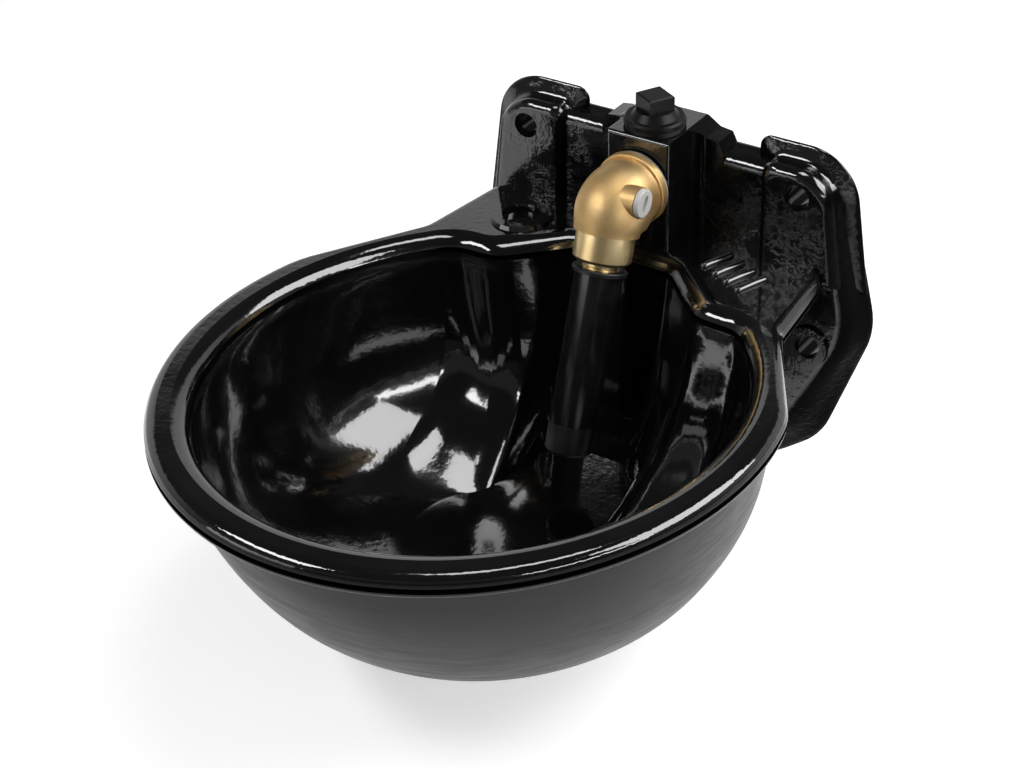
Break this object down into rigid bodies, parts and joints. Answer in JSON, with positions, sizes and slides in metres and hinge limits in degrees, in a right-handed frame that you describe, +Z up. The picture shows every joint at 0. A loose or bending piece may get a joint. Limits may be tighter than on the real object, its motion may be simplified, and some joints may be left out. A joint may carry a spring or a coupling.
{
  "type": "livestock drinking bowl",
  "caption": "Black enamelled cast-iron livestock drinking bowl with a wall plate and a tilting tube valve on a brass elbow.",
  "frame": {"origin": "middle of the wall face of the back plate, level with the top of the rim", "axes": "+Y into the wall, +Z up, the bowl reaches out towards -Y"},
  "size_m": [0.2564, 0.3067, 0.1834],
  "materials": {
    "black_enamel": "glossy",
    "cast_brass": "matte",
    "machined_brass": "satin",
    "white_plastic": "matte",
    "black_plastic": "satin",
    "black_rubber": "matte",
    "grey_fibre": "matte",
    "stainless": "satin"
  },
  "bodies": {
    "bowl": {"bowl_casting": "black_enamel", "top_plug": "black_plastic", "plug_seal": "black_rubber", "elbow_gasket": "grey_fibre", "brass_elbow": "cast_brass", "valve_seat": "machined_brass", "outlet_sleeve": "machined_brass", "sleeve_ring": "black_rubber"},
    "swing": {"swing_ring": "machined_brass"},
    "tube": {"tube_head": "machined_brass", "drinking_tube": "black_plastic", "tube_collar": "black_rubber", "tube_nozzle": "black_rubber"},
    "stem": {"valve_stem": "stainless", "valve_disc": "black_rubber", "valve_spring": "stainless"},
    "screw": {"flow_screw": "white_plastic", "screw_ring": "black_rubber"}
  },
  "joints": [
    {"name": "tube_push", "type": "hinge", "parent": "bowl", "child": "swing", "pos_m": [0, -0.06317, 0.01084], "axis": [1, 0, 0], "range_deg": [0, 7], "stiffness_Nm_per_rad": 0.5, "springref_deg": -5.73},
    {"name": "tube_side", "type": "hinge", "parent": "swing", "child": "tube", "pos_m": [0, -0.06317, 0.01084], "axis": [0, 0.9426, -0.3338], "range_deg": [-4, 4], "stiffness_Nm_per_rad": 0.5},
    {"name": "stem_lift", "type": "slide", "parent": "bowl", "child": "stem", "axis": [0, 0.3338, 0.9426], "range_m": [0, 0.0005]},
    {"name": "flow_screw_turn", "type": "hinge", "parent": "bowl", "child": "screw", "pos_m": [0, -0.0577, 0.0332], "axis": [1, 0, 0], "range_deg": [0, 180]}
  ],
  "couplings": [
    {"joint": "stem_lift", "follows": "tube_push", "m_per_rad": 0.004}
  ]
}
